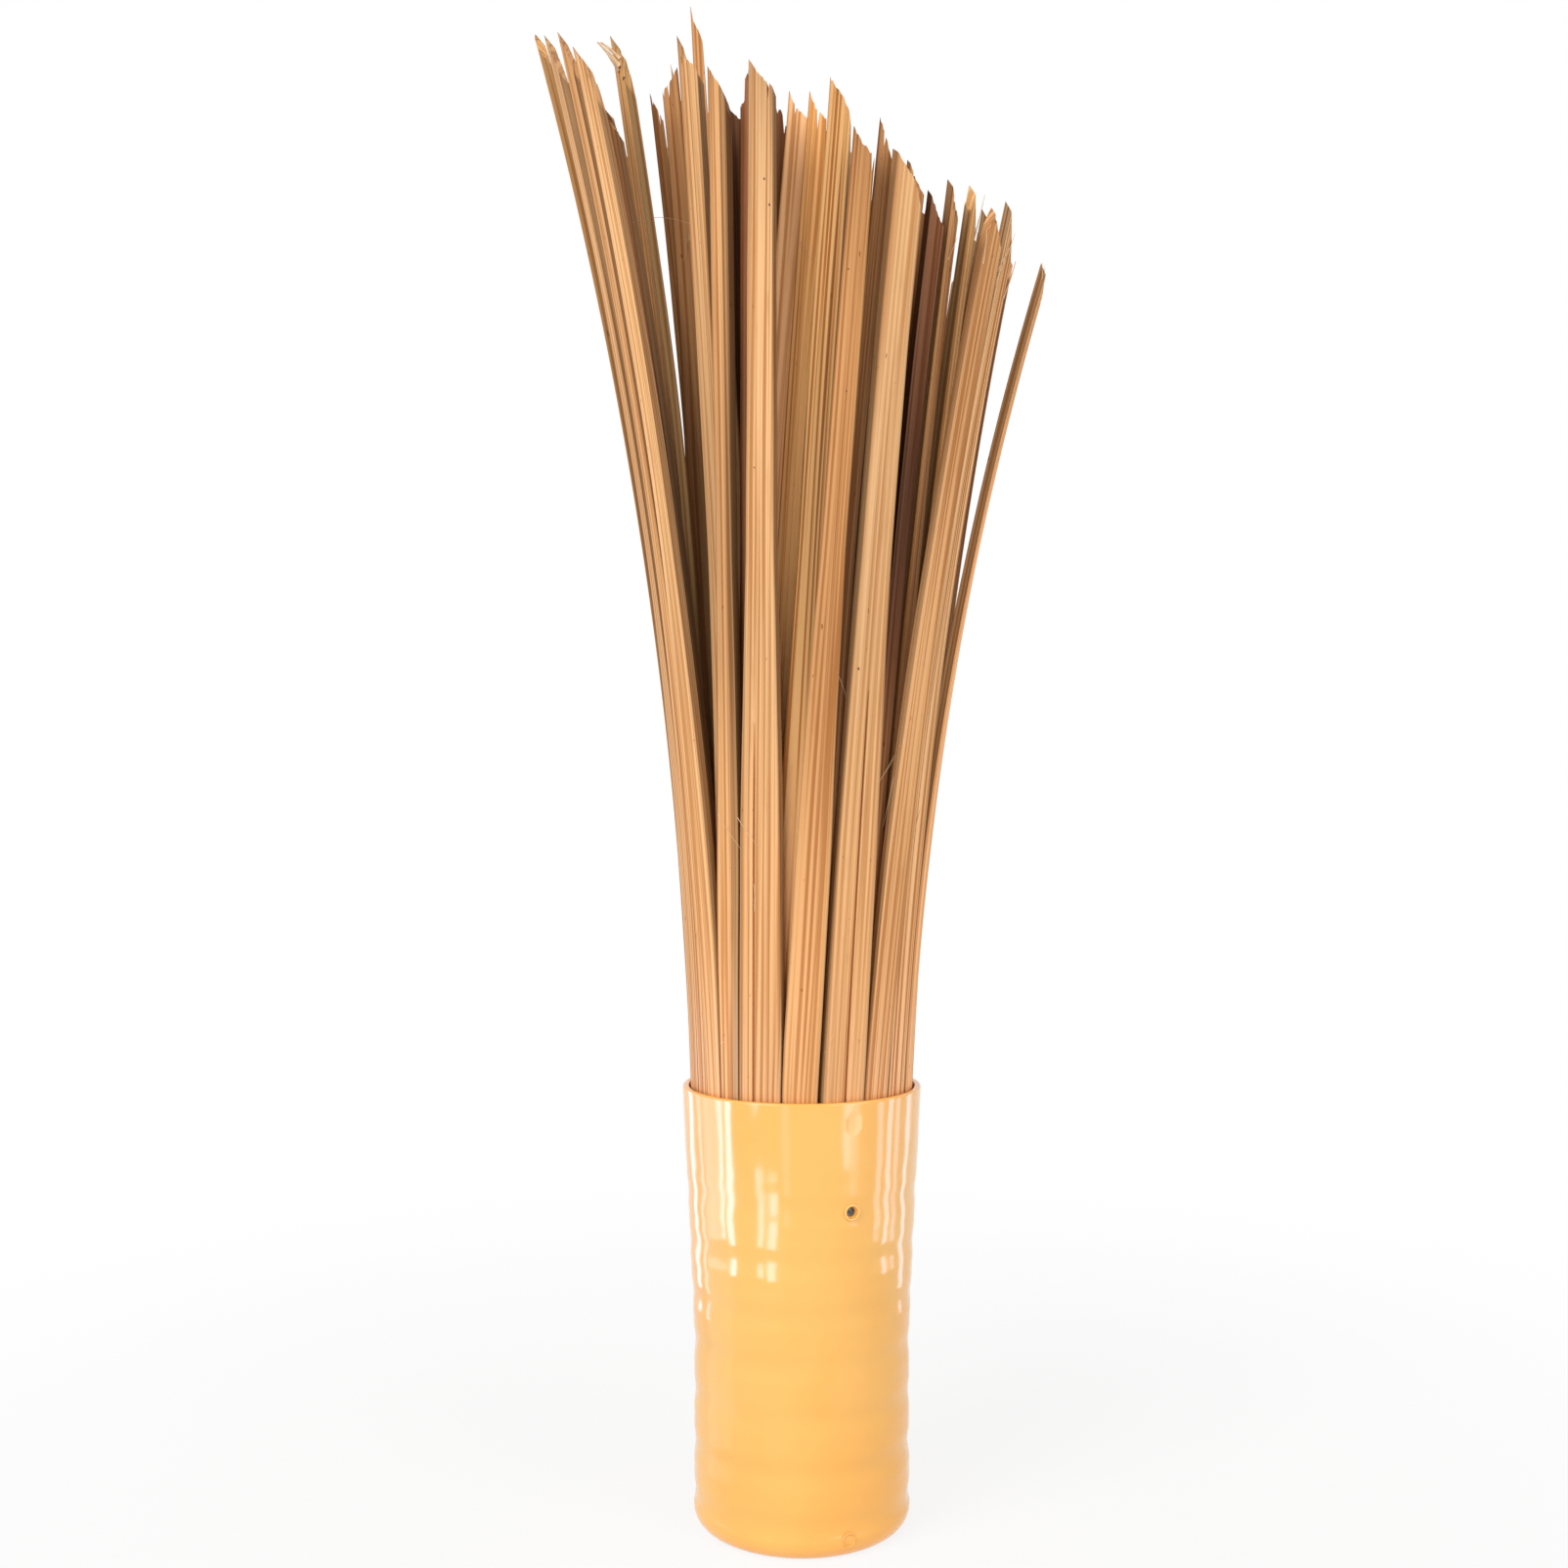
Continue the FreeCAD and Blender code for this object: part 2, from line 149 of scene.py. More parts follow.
class Paint:
    """A node tree under construction: a new material's, or the tree that it is given."""

    def __init__(self, name, tree=None):
        if tree is None:
            self.material = bpy.data.materials.new(name)
            self.material.use_nodes = True
            tree = self.material.node_tree
        self.tree = tree
        self.tree.nodes.clear()

    def node(self, kind, settings, *values, out=0, **named):
        """Adds a shader node: its settings first, then the values or links of its sockets."""
        made = self.tree.nodes.new("ShaderNode" + kind)
        for key, value in settings.items():
            if key == "stops":
                for stop, (place, shade) in zip(made.color_ramp.elements, value):
                    stop.position = place
                    stop.color = (shade, shade, shade, 1)
            else:
                setattr(made, key, value)
        sockets = [(place, value) for place, value in enumerate(values)]
        sockets += [(key.replace("_", " "), value) for key, value in named.items()]
        for place, value in sockets:
            if isinstance(value, Wire):
                self.tree.links.new(value.socket, made.inputs[place])
            elif value is not None:
                made.inputs[place].default_value = value
        return Wire(self, made.outputs[out]) if made.outputs else None

    def mix(self, factor, one, other, blend="MIX"):
        """A colour mixed from two colours."""
        made = self.node("Mix", {"data_type": "RGBA", "blend_type": blend}, factor, out=2)
        for place, value in ((6, one), (7, other)):
            socket = made.socket.node.inputs[place]
            if isinstance(value, Wire):
                self.tree.links.new(value.socket, socket)
            else:
                socket.default_value = (*value, 1)
        return made

    def stretched(self, where, scale, detail, roughness=0.5):
        """Noise on coordinates that are scaled by different amounts each way."""
        mapped = self.node("Mapping", {}, where, Scale=scale)
        return self.node("TexNoise", {}, mapped, Scale=1.0, Detail=detail, Roughness=roughness)

    def ramp(self, value, zero, one):
        """0 on one side of two values, 1 on the other, and even between them."""
        return self.node("ValToRGB", {"stops": sorted([(zero, 0.0), (one, 1.0)])}, value)

    def surface(self, **values):
        """Ends the material with a Principled surface."""
        shader = self.node("BsdfPrincipled", {}, **values)
        self.node("OutputMaterial", {}, shader)
        return self.material


def bamboo_material():
    """Split bamboo: fibres along each splint, read from the splint's own UV map and tone, a colour that also
    carries painted light and shade.
    """
    paint = Paint("split_bamboo")
    grain = paint.node("UVMap", {"uv_map": "grain"})
    tone = paint.node("Attribute", {"attribute_name": "tone"})
    strength = paint.node("Attribute", {"attribute_name": "tone"}, out=3)
    fibres = paint.stretched(grain, (2.4, 0.012, 1), 1.5)
    bundles = paint.stretched(grain, (1.3, 0.009, 1), 2.0)
    streaks = paint.stretched(grain, (0.55, 0.008, 1), 2.0)
    stains = paint.stretched(grain, (0.50, 0.05, 1), 4.0, 0.6)
    flecks = paint.stretched(grain, (1.6, 0.55, 1), 1.0, 0.4)
    seams = paint.stretched(grain, (1.5, 0.005, 1), 0.0)
    groove = paint.ramp(fibres, 0.51, 0.41) * strength
    crest = paint.ramp(fibres, 0.51, 0.58) * strength
    bundle = paint.ramp(bundles, 0.50, 0.40)
    streak = paint.ramp(streaks, 0.36, 0.64)
    stain = paint.ramp(stains, 0.58, 0.74)
    fleck = paint.ramp(flecks, 0.77, 0.80)
    seam = paint.ramp(seams, 0.25, 0.22)
    shade = paint.mix(1.0, tone, (0.62, 0.43, 0.27), "MULTIPLY")
    glow = paint.mix(1.0, tone, (1.28, 1.36, 1.55), "MULTIPLY")
    deep = paint.mix(1.0, tone, (0.34, 0.22, 0.14), "MULTIPLY")
    base = tone
    for mask, share, other in (
            (streak, 0.45, glow), (bundle, 0.42, shade), (groove, 0.72, shade), (crest, 0.55, glow),
            (stain, 0.35, shade), (seam, 0.70, deep), (fleck, 0.70, deep)):
        base = paint.mix(mask * share, base, other)
    height = fibres * 0.8 + bundles * 0.5
    bump = paint.node("Bump", {}, Strength=0.8, Distance=0.00014, Height=height)
    return paint.surface(
        Base_Color=base, Roughness=0.52 + 0.16 * groove, Normal=bump, Specular_IOR_Level=0.18)


def plastic_material(tint):
    """Glossy moulded plastic with faint flow clouds and handling marks."""
    paint = Paint("moulded_plastic")
    place = paint.node("TexCoord", {}, out=3)
    clouds = paint.stretched(place, (45, 45, 30), 3.0)
    orange = tuple(v * f for v, f in zip(tint, (1.0, 0.86, 0.62)))
    pale = tuple(min(1.0, v * f) for v, f in zip(tint, (1.0, 1.09, 1.40)))
    base = paint.mix(paint.ramp(clouds, 0.35, 0.65) * 0.5, pale, orange)
    scuffs = paint.stretched(place, (400, 400, 60), 4.0, 0.7)
    rough = 0.15 + 0.12 * paint.ramp(scuffs, 0.52, 0.70)
    swells = paint.stretched(place, (140, 140, 110), 1.0, 0.4)
    bump = paint.node("Bump", {}, Strength=0.5, Distance=0.0004, Height=swells)
    return paint.surface(
        Base_Color=base, Roughness=rough, Normal=bump, Subsurface_Weight=0.12,
        Subsurface_Radius=(0.004, 0.002, 0.0008), Subsurface_Scale=0.5, Coat_Weight=0.15, Coat_Roughness=0.10)


def steel_material():
    """Plain steel wire, dull where it was cut."""
    paint = Paint("steel_wire")
    place = paint.node("TexCoord", {}, out=3)
    marks = paint.stretched(place, (2500, 2500, 2500), 3.0, 0.6)
    base = paint.mix(paint.ramp(marks, 0.40, 0.62), (0.045, 0.042, 0.040), (0.15, 0.14, 0.13))
    bump = paint.node("Bump", {}, Strength=0.3, Distance=0.00005, Height=marks)
    return paint.surface(Base_Color=base, Metallic=0.6, Roughness=0.42 + 0.2 * marks, Normal=bump)


# Modelling helpers

def mode(name):
    bpy.ops.object.mode_set(mode=name)


def deselect():
    if bpy.context.object and bpy.context.object.mode != "OBJECT":
        mode("OBJECT")
    bpy.ops.object.select_all(action="DESELECT")


def activate(obj):
    deselect()
    obj.select_set(True)
    bpy.context.view_layer.objects.active = obj


def edit_all():
    """Opens the active mesh for editing, with all of it selected."""
    mode("EDIT")
    bpy.ops.mesh.select_all(action="SELECT")


def smoothed(obj, degrees):
    """Shades an object smooth, apart from edges sharper than an angle."""
    activate(obj)
    bpy.ops.object.shade_smooth_by_angle(angle=math.radians(degrees))


def linked(name, data):
    obj = bpy.data.objects.new(name, data)
    bpy.context.scene.collection.objects.link(obj)
    return obj


def joined(objects, name):
    """One object made of several."""
    deselect()
    for obj in objects:
        obj.select_set(True)
    bpy.context.view_layer.objects.active = objects[0]
    if len(objects) > 1:
        bpy.ops.object.join()
    objects[0].name = name
    return objects[0]


def finished(obj, material, slot, *nodes):
    """Gives a piece its material, ties it to the body and lets it stand for CAD nodes."""
    obj.data.materials.clear()
    obj.data.materials.append(material)
    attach(obj, "root")
    if nodes:
        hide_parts(*nodes)
    return obj


def points_of(mesh):
    co = np.empty(len(mesh.vertices) * 3)
    mesh.vertices.foreach_get("co", co)
    return co.reshape(-1, 3)


def camera_place(settings):
    return Vector((settings.camera_side, -settings.camera_distance, settings.camera_height))


def rising(values, start, span):
    """0 up to a start, 1 from a span beyond it, and even between them."""
    return np.clip((values - start) / span, 0, 1)


def falling(values, end, span):
    """1 down to a span before an end, 0 from the end on, and even between them."""
    return np.clip((end - values) / span, 0, 1)


def bell(values, middle, spread):
    """1 at a middle, falling off to 0 on both sides."""
    return np.exp(-((values - middle) / spread) ** 2)


# Handle

# Points along the foot's round, the outer wall, the lip's round and the inner wall, and round the axis.
FOOT_STEPS, WALL_STEPS, LIP_STEPS, INNER_STEPS, TURN_STEPS = 8, 150, 5, 12, 240


def flare(settings, z):
    """Outer radius over the ring crests at a height."""
    rise = max(0.0, z - settings.flare_start) / (HANDLE_HEIGHT - settings.flare_start)
    return settings.grip_radius + (MOUTH_RADIUS - settings.grip_radius) * rise


def hollow(distance, width):
    """A smooth hollow of depth 1, as a function of the distance from its middle."""
    return 0.5 + 0.5 * math.cos(2 * math.pi * distance / width) if abs(distance) < width / 2 else 0.0


def handle_outline(settings):
    """The handle's section from the middle of its bottom, up the outside, over the lip and down inside."""
    radius, foot, lip, wall = settings.grip_radius, settings.foot_round, settings.lip_round, settings.wall
    foot_edge, inner_edge, inner_chamfer = 1.5 * MM, 0.2 * MM, 0.06 * MM
    outline = [(0.0, 0.0), (radius - foot - foot_edge, 0.0)]
    for step in range(FOOT_STEPS + 1):
        angle = math.pi / 2 * step / FOOT_STEPS
        outline.append((radius - foot * (1 - math.sin(angle)), foot * (1 - math.cos(angle))))
    top = HANDLE_HEIGHT - lip
    for step in range(1, WALL_STEPS + 1):
        z = foot + (top - foot) * step / WALL_STEPS
        outline.append((flare(settings, z), z))
    for step in range(1, LIP_STEPS + 1):
        angle = math.pi / 2 * step / LIP_STEPS
        outline.append((MOUTH_RADIUS - lip * (1 - math.cos(angle)), top + lip * math.sin(angle)))
    inner = MOUTH_RADIUS - wall
    outline += [(inner + inner_edge, HANDLE_HEIGHT), (inner + inner_chamfer, HANDLE_HEIGHT - inner_chamfer),
                (inner, HANDLE_HEIGHT - inner_edge)]
    for step in range(1, INNER_STEPS + 1):
        z = HANDLE_HEIGHT - (HANDLE_HEIGHT - settings.flare_start) * step / INNER_STEPS
        outline.append((flare(settings, z) - wall, z))
    outline += [(radius - wall, FLOOR_TOP), (0.0, FLOOR_TOP)]
    return outline


class BRUSH_OT_handle(bpy.types.Operator):
    """Turns the handle, presses its uneven grip rings and cuts the nail's dimple"""
    bl_idname = "brush.handle"
    bl_label = "Handle"

    RINGS = 7
    # The heights between which the wall is pressed in, and the share of it that counts as outside.
    PRESSED, OUTSIDE = (0.0035, 0.0665), 0.3
    # How far a ring's height and the wall wander, in mm, and a ring's depth, as a share.
    HEIGHT_DRIFT, WALL_DRIFT, DEPTH_DRIFT = 0.7, 0.04, 0.5
    # Shares: a ring's depth at the foot, its loss by the mouth, and a between hollow's width.
    FOOT_DEPTH, DEPTH_LOSS, BETWEEN_WIDTH = 1.6, 1.1, 0.7
    # All in mm: the nail's hole and its flared end, the ball that cuts the round mark, and the two rings.
    HOLE_RADIUS, HOLE_DEPTH, HOLE_SUNK, DIMPLE_DEPTH, DIMPLE_WIDENING = 0.68, 2.4, 1.6, 1.0, 2.0
    MARK_HEIGHT, BALL_RADIUS, BALL_OFF = 65.3, 12, 11.87
    FOOT_MARK_HEIGHT, SUNK, BURR, FOOT_MARK = 3.1, 0.02, (1.1, 0.2), (1.0, 0.13)

    def execute(self, context):
        settings = context.scene.brush_handle
        outline = handle_outline(settings)
        mesh = bpy.data.meshes.new("handle_moulding")
        mesh.from_pydata([(r, 0, z) for r, z in outline], [(i, i + 1) for i in range(len(outline) - 1)], [])
        handle = linked("handle_moulding", mesh)
        activate(handle)
        edit_all()
        bpy.ops.mesh.spin(steps=TURN_STEPS, angle=2 * math.pi, axis=(0, 0, 1), center=(0, 0, 0))
        bpy.ops.mesh.select_all(action="SELECT")
        bpy.ops.mesh.remove_doubles(threshold=0.00001)
        bpy.ops.mesh.normals_make_consistent(inside=False)
        mode("OBJECT")
        self.press_rings(handle, settings)
        self.cut_marks(handle, settings)
        smoothed(handle, 38)
        finished(handle, plastic_material(settings.plastic), "handle_plastic", "handle")
        return {"FINISHED"}

    def press_rings(self, handle, settings):
        """Moves the outer wall in at each ring, by depths and heights that vary a little round it."""
        for vertex in handle.data.vertices:
            x, y, z = vertex.co
            radius = math.hypot(x, y)
            inside = radius < flare(settings, z) - self.OUTSIDE * settings.wall
            if inside or not self.PRESSED[0] < z < self.PRESSED[1]:
                continue
            around = Vector((x, y, 0)) / radius
            inward = 0.0
            for ring in range(self.RINGS):
                height = settings.first_ring + ring * settings.ring_pitch
                height += self.HEIGHT_DRIFT * MM * noise.noise(around * 1.3 + Vector((0, 0, 7.1 * ring)))
                drift = noise.noise(around * 1.7 + Vector((3, 0, 5.3 * ring)))
                depth = settings.ring_depth * (1 + self.DEPTH_DRIFT * drift)
                depth *= self.FOOT_DEPTH - self.DEPTH_LOSS * z / HANDLE_HEIGHT
                inward += depth * hollow(z - height, settings.ring_width)
                between = height + settings.ring_pitch / 2
                width = self.BETWEEN_WIDTH * settings.ring_width
                inward += settings.between_depth * hollow(z - between, width)
            inward += self.WALL_DRIFT * MM * noise.noise(around * 4.5 + Vector((9, 0, 110 * z)))
            vertex.co.x -= around.x * inward
            vertex.co.y -= around.y * inward

    def cut_marks(self, handle, settings):
        """Cuts the nail's dimple and hole and the faint round mark, and adds the burr and the foot's mark."""
        low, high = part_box("nail")
        outward = Vector(((low.x + high.x) / 2, (low.y + high.y) / 2, 0)).normalized()
        nail_height = (low.z + high.z) / 2
        turn = outward.to_track_quat("Z", "Y").to_euler()
        wall = outward * flare(settings, nail_height) + Vector((0, 0, nail_height))
        bpy.ops.mesh.primitive_cylinder_add(
            vertices=48, radius=self.HOLE_RADIUS * MM, depth=self.HOLE_DEPTH * MM,
            location=wall - outward * self.HOLE_SUNK * MM, rotation=turn)
        tool = bpy.context.object
        mode("EDIT")
        bpy.ops.mesh.select_all(action="DESELECT")
        mode("OBJECT")
        for face in tool.data.polygons:
            face.select = face.normal.z > 0.9
        mode("EDIT")
        bpy.ops.mesh.extrude_region_move(
            TRANSFORM_OT_translate={"value": outward * self.DIMPLE_DEPTH * MM})
        bpy.ops.transform.resize(value=[self.DIMPLE_WIDENING] * 3)
        mode("OBJECT")
        self.cut(handle, tool)
        mark_height = self.MARK_HEIGHT * MM
        mark = outward * (flare(settings, mark_height) + self.BALL_OFF * MM) + Vector((0, 0, mark_height))
        bpy.ops.mesh.primitive_uv_sphere_add(
            segments=96, ring_count=72, radius=self.BALL_RADIUS * MM, location=mark)
        self.cut(handle, bpy.context.object)
        rings = [handle]
        foot = outward * (settings.grip_radius - self.SUNK * MM) + Vector((0, 0, self.FOOT_MARK_HEIGHT * MM))
        burr = wall - outward * self.SUNK * MM
        for place, (radius, thickness) in ((burr, self.BURR), (foot, self.FOOT_MARK)):
            bpy.ops.mesh.primitive_torus_add(
                major_segments=48, minor_segments=12, major_radius=radius * MM, minor_radius=thickness * MM,
                location=place, rotation=turn)
            rings.append(bpy.context.object)
        joined(rings, "handle_moulding")

    def cut(self, handle, tool):
        """Cuts a tool out of the handle and deletes the tool."""
        activate(handle)
        modifier = handle.modifiers.new("cut", "BOOLEAN")
        modifier.operation = "DIFFERENCE"
        modifier.object = tool
        modifier.solver = "EXACT"
        bpy.ops.object.modifier_apply(modifier=modifier.name)
        bpy.data.objects.remove(tool)
        if not handle.data.vertices:
            raise RuntimeError("the handle was lost in a cut")


class BRUSH_OT_nail(bpy.types.Operator):
    """Finishes the nail, whose solid already has its shape"""
    bl_idname = "brush.nail"
    bl_label = "Nail"

    def execute(self, context):
        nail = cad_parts["nail"]
        nail.data.materials.clear()
        nail.data.materials.append(steel_material())
        return {"FINISHED"}


# Splints

class Stem:
    """A splint's course, read from its solid: where its middle runs, its section and its tip's outline."""

    # A tip's outline at most, the least height of a bend above the mouth, and how far inside its ends the
    # last straight stretch is measured.
    TIP_REACH, FIRST_BEND, KEPT = 0.0095, 0.001, 0.0005
    # How far above the grip, the mouth and a bend the section is cut.
    OVER_GRIP, OVER_MOUTH, OVER_BEND = 0.0001, 1e-5, 1e-6

    def __init__(self, mesh, heading):
        self.points = points_of(mesh)
        edges = np.empty(len(mesh.edges) * 2, int)
        mesh.edges.foreach_get("vertices", edges)
        self.edges = edges.reshape(-1, 2)
        if heading is None:
            middle = self.cut(GRIP_TOP + self.OVER_GRIP).mean(0)
            heading = math.atan2(middle[0], -middle[1])
        self.across = np.array((math.cos(heading), math.sin(heading)))
        self.outward = np.array((math.sin(heading), -math.cos(heading)))
        heights = np.round(self.points[:, 2], 6)
        levels, counts = np.unique(heights, return_counts=True)
        self.top = levels[-1]
        tips = [z for z, n in zip(levels, counts) if n < 4 and z > self.top - self.TIP_REACH]
        above = HANDLE_HEIGHT + self.FIRST_BEND
        bends = [z for z, n in zip(levels, counts) if n >= 4 and above < z < min(tips)]
        last = max(bends + [HANDLE_HEIGHT])
        self.run = [(z, *self.extent(z)) for z in (last + self.KEPT, min(tips) - self.KEPT)]
        mouth = HANDLE_HEIGHT + self.OVER_MOUTH
        self.low = self.extent(GRIP_TOP + self.OVER_GRIP)
        self.mouth = self.extent(mouth)
        self.tip_width = self.straight(self.top)[1]
        knots = [(mouth, self.mouth[0])] + [(z, self.extent(z + self.OVER_BEND)[0]) for z in bends]
        knots.append((self.top, self.straight(self.top)[0]))
        degree = min(2, len(knots) - 1)
        self.course = [np.polyfit([z for z, _ in knots], [c[i] for _, c in knots], degree) for i in (0, 1)]
        outline = {}
        for z in tips:
            vertices = self.points[heights == z]
            centre, width = self.straight(z)
            share = float(((vertices[:, :2] - centre) @ self.across).mean() / width + 0.5)
            outline[round(min(max(share, 0.0), 1.0), 4)] = z
        self.outline = sorted(outline.items())
        self.spare = {}

    def cut(self, z):
        """The points where the solid's edges cross a height."""
        one, other = self.points[self.edges[:, 0]], self.points[self.edges[:, 1]]
        crossing = (one[:, 2] - z) * (other[:, 2] - z) < 0
        one, other = one[crossing], other[crossing]
        share = (z - one[:, 2]) / (other[:, 2] - one[:, 2])
        return one + (other - one) * share[:, None]

    def extent(self, z):
        """The middle, width and thickness of the section at a height."""
        section = self.cut(z)[:, :2]
        side, out = section @ self.across, section @ self.outward
        middle = self.across * (side.max() + side.min()) / 2 + self.outward * (out.max() + out.min()) / 2
        return middle, side.max() - side.min(), out.max() - out.min()

    def straight(self, z):
        """The middle and width on the last straight stretch, carried on to a height."""
        (z0, middle0, width0, _), (z1, middle1, width1, _) = self.run
        share = (z - z0) / (z1 - z0)
        return middle0 + (middle1 - middle0) * share, width0 + (width1 - width0) * share

    def middle(self, z):
        """The middle of the smoothly bowed splint at each of many heights."""
        rise = rising(z, GRIP_TOP, HANDLE_HEIGHT - GRIP_TOP)[:, None]
        inside = self.low[0] + (self.mouth[0] - self.low[0]) * rise
        above = np.stack([np.polyval(course, z) for course in self.course], axis=1)
        return np.where((z > HANDLE_HEIGHT)[:, None], above, inside)

    def width(self, z):
        """The width at each of many heights."""
        rise = rising(z, HANDLE_HEIGHT, self.top - HANDLE_HEIGHT)
        return self.mouth[1] + (self.tip_width - self.mouth[1]) * rise

    def edge(self, z, side):
        """The place of the left (-1) or right (1) edge at many heights."""
        return self.middle(z) + self.across * (side * self.width(z) / 2)[:, None]

    def gap(self, z, side, neighbour):
        """How far the edge stands from the neighbour's facing edge."""
        return np.hypot(*(self.edge(z, side) - neighbour.edge(z, -side)).T)


def stems_of(node):
    """The stems of a CAD node: one for a single splint, several for a split row."""
    copy = linked("reading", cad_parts[node].data.copy())
    activate(copy)
    edit_all()
    bpy.ops.mesh.remove_doubles(threshold=0.000001)
    bpy.ops.mesh.bisect(plane_co=(0, 0, GRIP_TOP), plane_no=(0, 0, 1), clear_inner=True)
    bpy.ops.mesh.select_all(action="SELECT")
    bpy.ops.mesh.separate(type="LOOSE")
    mode("OBJECT")
    pieces = list(bpy.context.selected_objects)
    pieces.sort(key=lambda piece: points_of(piece.data)[:, 0].mean())
    heading = 0.0 if node.startswith("inner") else None
    stems = [Stem(piece.data, heading) for piece in pieces]
    for piece in pieces:
        bpy.data.objects.remove(piece)
    return stems


class Blank:
    """A plain slab of many small faces, from which every splint is shaped."""
    COLUMNS = 16
    ROWS = 56

    def __init__(self):
        deselect()
        bpy.ops.mesh.primitive_grid_add(x_subdivisions=self.COLUMNS, y_subdivisions=self.ROWS, size=1)
        slab = bpy.context.object
        edit_all()
        bpy.ops.mesh.extrude_region_move(TRANSFORM_OT_translate={"value": (0, 0, 1)})
        bpy.ops.mesh.select_all(action="SELECT")
        bpy.ops.mesh.normals_make_consistent(inside=False)
        mode("OBJECT")
        self.mesh = slab.data
        places = points_of(self.mesh)
        self.column = np.round((places[:, 0] + 0.5) * self.COLUMNS).astype(int)
        self.row = np.round((places[:, 1] + 0.5) * self.ROWS).astype(int)
        self.outer = places[:, 2] > 0.5
        self.corners = np.empty(len(self.mesh.loops), int)
        self.mesh.loops.foreach_get("vertex_index", self.corners)
        bpy.data.objects.remove(slab)


def wavy(seed, places):
    """Smooth random values about 0 at places along a line."""
    return np.array([noise.noise(Vector((float(p), seed * 7.31, 1.7))) for p in places])


# The looks of each ring's first splints and of some inner ones: the tone from the settings, how strongly the
# grooves show, how much painted shade darkens it half-way up (negative: painted light), and a factor all
# along: painted light on splints in shade, painted shade below 1, partly their own tone.
RING_LOOKS = {
    "outer": (
        ("honey", 1.0, 0.0, 1.0), ("light", 0.9, 0.0, 1.0), ("tan", 1.0, 0.0, 1.0), ("light", 0.9, 0.0, 1.0),
        ("tan", 1.0, 0.2, 1.0), ("light", 1.0, 0.0, 0.93), ("brown", 0.9, 0.0, 1.0), ("light", 0.55, 0.0, 1.0),
        ("tan", 1.0, 0.0, 1.0), ("light", 1.3, 0.0, 1.0), ("tan", 0.9, 0.0, 1.35), ("pink", 0.8, 0.0, 1.1)),
    "second": (
        ("green", 1.0, 0.0, 1.2), ("tan", 0.8, 0.6, 1.0), ("light", 1.0, 0.3, 1.12), ("red", 0.9, 0.3, 1.0),
        ("brown", 1.0, 0.3, 1.0), ("honey", 1.4, 0.3, 1.0), ("brown", 1.0, 0.4, 1.0), ("tan", 0.8, 0.3, 1.0),
        ("red", 1.2, 0.7, 1.0), ("tan", 1.0, 0.3, 1.15), ("green", 0.9, 0.3, 1.35), ("tan", 0.9, 0.3, 1.2)),
}
LOOKS = {
    "inner_row_01 1": ("honey", 1.1, -0.35, 1.35), "inner_row_02 1": ("light", 1.0, -0.30, 1.15),
    "inner_row_03 2": ("dark", 0.9, 0.4, 1.0), "inner_row_04 1": ("brown", 1.0, 0.2, 1.0),
    "inner_row_04 2": ("dark", 1.0, 0.65, 0.8), "inner_row_05 1": ("brown", 0.9, 0.2, 1.0),
    "inner_row_06 1": ("tan", 1.0, 0.2, 1.0), "inner_row_07 1": ("brown", 1.0, 0.65, 1.0),
    **{"%s_splint_%02d" % (ring, place + 1): look
       for ring, looks in RING_LOOKS.items() for place, look in enumerate(looks)},
}
# Painted shade on facets turned from the light: from and to which share of a splint's width it is darker, and
# by what factor.
PAINTED_FACET_SHADE = {"outer_splint_05": (0.64, 1.0, 0.60), "second_splint_02": (0.0, 0.45, 0.30)}
# How far to the right of its middle a splint is cracked, and up to which height.
CRACKS = {"outer_splint_06": (-0.9 * MM, 126 * MM), "outer_splint_08": (0.2 * MM, 131 * MM)}


